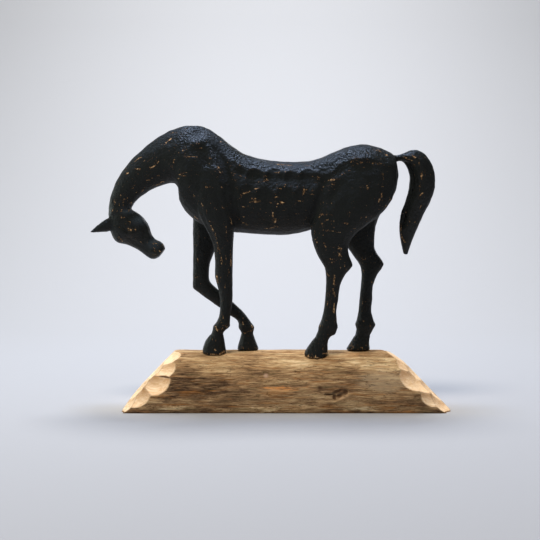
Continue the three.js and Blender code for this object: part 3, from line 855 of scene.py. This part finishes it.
# Marks that have a colour of their own, and one painted shadow, each (centre, half lengths).
PALE_STREAK = ((-6, -63, 27.2), (13, 12, 1.0))
# A painted shadow, dark brown, in the undercut under one ridge of the scoops on the left end.
PAINTED_UNDERCUT_SHADOW = ((-149.5, -50, 41.6), (9, 16, 1.1))
GREY_STAIN = ((119, -54, 37), (27, 22, 13))
ORANGE_STREAK = ((-7, -62, 30), (20, 12, 2.2))
PALE_KNOT = ((-25, -56, 44), (2.6, 9, 2.2))
DARK_KNOT = ((41, -64, 30), (2.8, 9, 2.6))


def weathered_softwood():
    """A debarked softwood log left outdoors, split in half, its ends gouged when it was dry.

    The eye sees thin streaks from dark brown to straw along the log, darker low on the left and greyer at
    the right, dull all over, with checks 1 mm wide, and smooth pale scoops at the ends. Painted light
    makes the crown paler and painted shade the foot darker; the scoops carry painted shade where they
    turn down, partly along their ridges, and in one undercut.
    """
    material = new_material("weathered_debarked_softwood")
    place = add(material, "TexCoord").outputs["Object"]
    cut, furrow, shade, ridge, hollow = (
        add(material, "Attribute", attribute_name=name).outputs["Fac"]
        for name in ("cut", "furrow", "shade", "ridge", "hollow")
    )
    height = add(material, "SeparateXYZ", {"Vector": place}).outputs["Z"]

    # The grain wavers by a few millimetres. Then each pattern's size in mm along and across, its
    # detail and its roughness. Real fibres are finer than the fine streak and the fibre here,
    # which are drawn as coarse as it takes to show.
    spot = add(material, "Mapping", {"Vector": place, "Scale": per_mm(60, 24)})
    sway = add(material, "TexNoise", {"Vector": spot, "Scale": 1.0, "Detail": 1.0})
    wavy = shifted(material, place, sway, (0, 4, 4))
    pattern = {}
    for name, field, size, detail, roughness in (
        ("wide streak", wavy, (60, 5), 4.0, 0.65),
        ("fine streak", wavy, (14, 1.2), 5.0, 0.75),
        ("hue", wavy, (36, 3), 4.0, 0.65),
        ("broad patch", place, (60, 18), 4.0, 0.65),
        ("check", wavy, (34, 4.5), 3.0, 0.5),
        ("tear", place, (22, 3), 5.0, 0.75),
        ("fibre", place, (12, 1.8), 5.0, 0.7),
    ):
        spot = add(material, "Mapping", {"Vector": field, "Scale": per_mm(*size)})
        pattern[name] = add(material, "TexNoise", {
            "Vector": spot, "Scale": 1.0, "Detail": detail, "Roughness": roughness})
    ragged = shifted(material, place, pattern["tear"], (90, 0, 20))

    tone = add(material, "Math", {0: pattern["fine streak"], 1: 1.0, 2: -0.59}, operation="MULTIPLY_ADD")
    for source, share in ((pattern["wide streak"], 0.55), (pattern["broad patch"], 0.60), (furrow, 0.08)):
        tone = add(material, "Math", {0: source, 1: share, 2: tone}, operation="MULTIPLY_ADD")
    # Painted light and shade: paler along the crown, which the light from above falls on, and darker at
    # the foot, next to the floor.
    for low, high, change in ((44 * MM, 64 * MM, 0.04), (7 * MM, 0.0, -0.14)):
        share = add(material, "MapRange", {
            "Value": height, "From Min": low, "From Max": high, "To Max": change})
        tone = add(material, "Math", {0: tone, 1: share}, operation="ADD")
    for centre, reach, change in STAINS:
        share = stain_or_painted_light(material, ragged, centre, reach, 0.45)
        tone = add(material, "Math", {0: share, 1: change, 2: tone}, operation="MULTIPLY_ADD")
    skin = add(material, "ValToRGB", {"Fac": tone},
               stops=[(0.20, "#33261a"), (0.34, "#69503a"), (0.48, "#9a7a57"), (0.62, "#c3a277"),
                      (0.80, "#efd6ab")]).outputs[0]

    # Rusty and olive streaks, the grey of the most weathered place, the thin orange streak, the
    # torn-out knot and two small ones: how much of each, and its colour.
    rust = add(material, "MapRange", {
        "Value": pattern["hue"], "From Min": 0.54, "From Max": 0.66, "To Max": 0.6})
    olive = add(material, "MapRange", {
        "Value": pattern["hue"], "From Min": 0.44, "From Max": 0.32, "To Max": 0.55})
    grey = add(material, "Math", {0: stain_or_painted_light(material, ragged, *GREY_STAIN, 0.4), 1: 0.5},
               operation="MULTIPLY")
    orange = add(material, "MapRange", {
        "Value": pattern["fine streak"], "From Min": 0.36, "From Max": 0.52})
    orange = add(material, "Math", {0: orange, 1: stain_or_painted_light(material, ragged, *ORANGE_STREAK, 0.5)},
                 operation="MULTIPLY")
    lip = add(material, "MapRange", {"Value": hollow, "From Min": -0.25, "From Max": -0.8})
    for share, hex_colour in (
        (rust, "#a8713c"),
        (olive, "#7d6c4b"),
        (grey, "#b3a083"),
        (orange, "#e39a5a"),
        (stain_or_painted_light(material, wavy, *PALE_STREAK, 0.6), "#d9a873"),
        (hollow, "#533c2a"),
        (lip, "#cfa77c"),
        (stain_or_painted_light(material, wavy, *PALE_KNOT, 0.6), "#bd9c82"),
        (stain_or_painted_light(material, wavy, *DARK_KNOT, 0.7), "#513a28"),
    ):
        skin = add(material, "Mix", {SHARE: share, FROM: skin, TO: linear(hex_colour)},
                   data_type="RGBA").outputs[MIXED]
    # Checks: thin dark lines with the grain, where the wood has split as it dried.
    off_line = add(material, "Math", {0: pattern["check"], 1: 0.5}, operation="SUBTRACT")
    off_line = add(material, "Math", {0: off_line}, operation="ABSOLUTE")
    split = add(material, "MapRange", {
        "Value": off_line, "From Min": 0.016, "From Max": 0.004, "To Max": 0.6})
    skin = add(material, "Mix", {SHARE: split, FROM: skin, TO: linear("#382819")},
               data_type="RGBA").outputs[MIXED]

    # The fresh cuts: pale, with faint fibres, painted shade where a scoop turns down from the light
    # above, ridge lines that are partly torn fibre and partly painted shade, and a painted shadow in one
    # undercut.
    cuts = add(material, "ValToRGB", {"Fac": pattern["fibre"]},
               stops=[(0.32, "#dcb486"), (0.5, "#f3d2a8"), (0.66, "#ffe8c9")]).outputs[0]
    # Painted shade: warmer and darker where a scoop faces further down than the cut around it.
    painted_scoop_shade = add(material, "MapRange", {
        "Value": shade, "From Min": -0.1, "From Max": 0.75, "To Max": 0.8})
    soiled = add(material, "MapRange", {
        "Value": pattern["broad patch"], "From Min": 0.50, "From Max": 0.64, "To Max": 0.4})
    # Darker lines on the ridges: partly torn fibre, partly painted shade under each ridge.
    line = add(material, "MapRange", {
        "Value": ridge, "From Min": 0.45, "From Max": 0.95, "To Max": 0.4})
    # The painted shadow in the undercut on the left end.
    painted_undercut_shadow = stain_or_painted_light(material, place, *PAINTED_UNDERCUT_SHADOW, 0.5)
    for share, hex_colour in ((painted_scoop_shade, "#cf9d68"), (soiled, "#cfa072"), (line, "#8d6440"),
                              (painted_undercut_shadow, "#5d4129")):
        cuts = add(material, "Mix", {SHARE: share, FROM: cuts, TO: linear(hex_colour)},
                   data_type="RGBA").outputs[MIXED]
    colour = add(material, "Mix", {SHARE: cut, FROM: skin, TO: cuts}, data_type="RGBA")

    weathered = add(material, "Math", {0: 1.0, 1: cut}, operation="SUBTRACT")
    rise = add(material, "Math", {0: split, 1: -0.6, 2: pattern["fine streak"]},
               operation="MULTIPLY_ADD")
    rise = add(material, "Math", {0: rise, 1: weathered}, operation="MULTIPLY")
    bump = add(material, "Bump", {"Height": rise, "Strength": 0.7, "Distance": 0.7 * MM})
    shader = add(material, "BsdfPrincipled", {
        "Base Color": colour.outputs[MIXED], "Roughness": 0.75, "Normal": bump, "IOR": 1.5,
        "Specular IOR Level": 0.2})
    add(material, "OutputMaterial", {"Surface": shader})
    return material


# ------ the pieces

horse = carve_horse()
horse.data.materials.append(rubbed_milk_paint())
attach(horse, "root")
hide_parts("horse")

log = carve_log()
log.data.materials.append(weathered_softwood())
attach(log, "root")
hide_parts("half_log_base")

# ------ the bench, light and camera


def pale_backdrop():
    """A floor that sweeps up into a wall behind, matt and pale, with no line between them."""
    deselect_all()
    bpy.ops.mesh.primitive_plane_add(size=FLOOR_SPAN)
    sweep = bpy.context.object
    sweep.name = "pale_floor"
    bpy.ops.object.mode_set(mode="EDIT")
    bpy.ops.mesh.select_all(action="DESELECT")
    bpy.ops.object.mode_set(mode="OBJECT")
    for edge in sweep.data.edges:
        edge.select = all(sweep.data.vertices[k].co.y > 0 for k in edge.vertices)
    bpy.ops.object.mode_set(mode="EDIT")
    bpy.ops.mesh.select_mode(type="EDGE")
    bpy.ops.mesh.extrude_region_move(TRANSFORM_OT_translate={"value": (0, 0, WALL_HEIGHT)})
    bpy.ops.mesh.select_all(action="SELECT")
    bpy.ops.transform.translate(value=(0, WALL_PLACE - FLOOR_SPAN / 2, 0))
    bpy.ops.object.mode_set(mode="OBJECT")
    corner = sweep.modifiers.new("sweep", "BEVEL")
    corner.width = SWEEP_RADIUS
    corner.segments = 24
    bpy.ops.object.modifier_apply(modifier=corner.name)
    bpy.ops.object.shade_smooth()
    material = new_material("matt_pale_paint")
    shader = add(material, "BsdfPrincipled", {"Base Color": linear("#a2a2a3"), "Roughness": 0.9})
    add(material, "OutputMaterial", {"Surface": shader})
    sweep.data.materials.append(material)


def soft_light(name, place, aim, size, power, hex_colour, mirrored=True, lighting=True):
    """A round soft light. One that isn't mirrored gives light but no highlight, as a lamp behind
    a polarising sheet does. One that isn't lighting only shows as a highlight."""
    light = bpy.data.lights.new(name, "AREA")
    light.shape = "DISK"
    light.size = size
    light.energy = power
    light.color = linear(hex_colour)[:3]
    lamp = bpy.data.objects.new(name, light)
    lamp.location = place
    lamp.rotation_euler = (Vector(aim) - Vector(place)).to_track_quat("-Z", "Y").to_euler()
    lamp.visible_glossy = mirrored
    lamp.visible_diffuse = lighting
    bpy.context.scene.collection.objects.link(lamp)


def daylight(strength, hex_colour):
    world = bpy.data.worlds.new("studio")
    bpy.context.scene.world = world
    world.use_nodes = True
    background = world.node_tree.nodes["Background"]
    background.inputs["Color"].default_value = linear(hex_colour)
    background.inputs["Strength"].default_value = strength


def camera():
    """Level with the horse's back and looking slightly down, square to the log."""
    data = bpy.data.cameras.new("camera")
    data.sensor_width = SENSOR_MM
    data.lens = LENS_MM
    data.dof.use_dof = False
    view = bpy.data.objects.new("camera", data)
    view.location = CAMERA_EYE
    view.rotation_euler = (CAMERA_AIM - CAMERA_EYE).to_track_quat("-Z", "Y").to_euler()
    bpy.context.scene.collection.objects.link(view)
    bpy.context.scene.camera = view


pale_backdrop()
daylight(0.13, "#e9edf3")
middle = (0, 0, 0.15)
wall = (0.0, WALL_PLACE, 1.0)
# Each light: name, place, aim, size, power, colour.
soft_light("window_above", (-0.12, 0.22, 1.5), middle, 0.35, 15, "#c2d8ff")
soft_light("bounce_left", (-1.5, -0.45, 0.5), middle, 0.9, 2.6, "#dceee6")
soft_light("pale_wall_left", (-1.6, 0.6, 0.4), middle, 1.0, 9, "#dfece6", lighting=False)
soft_light("key_above_front", (-0.36, -0.6, 1.9), middle, 0.6, 30, "#fff6ea", mirrored=False)
soft_light("wall_wash", (0.0, 0.9, 2.2), wall, 1.0, 80, "#f4f6fa", mirrored=False)
camera()
bpy.context.scene.view_settings.view_transform = "Standard"
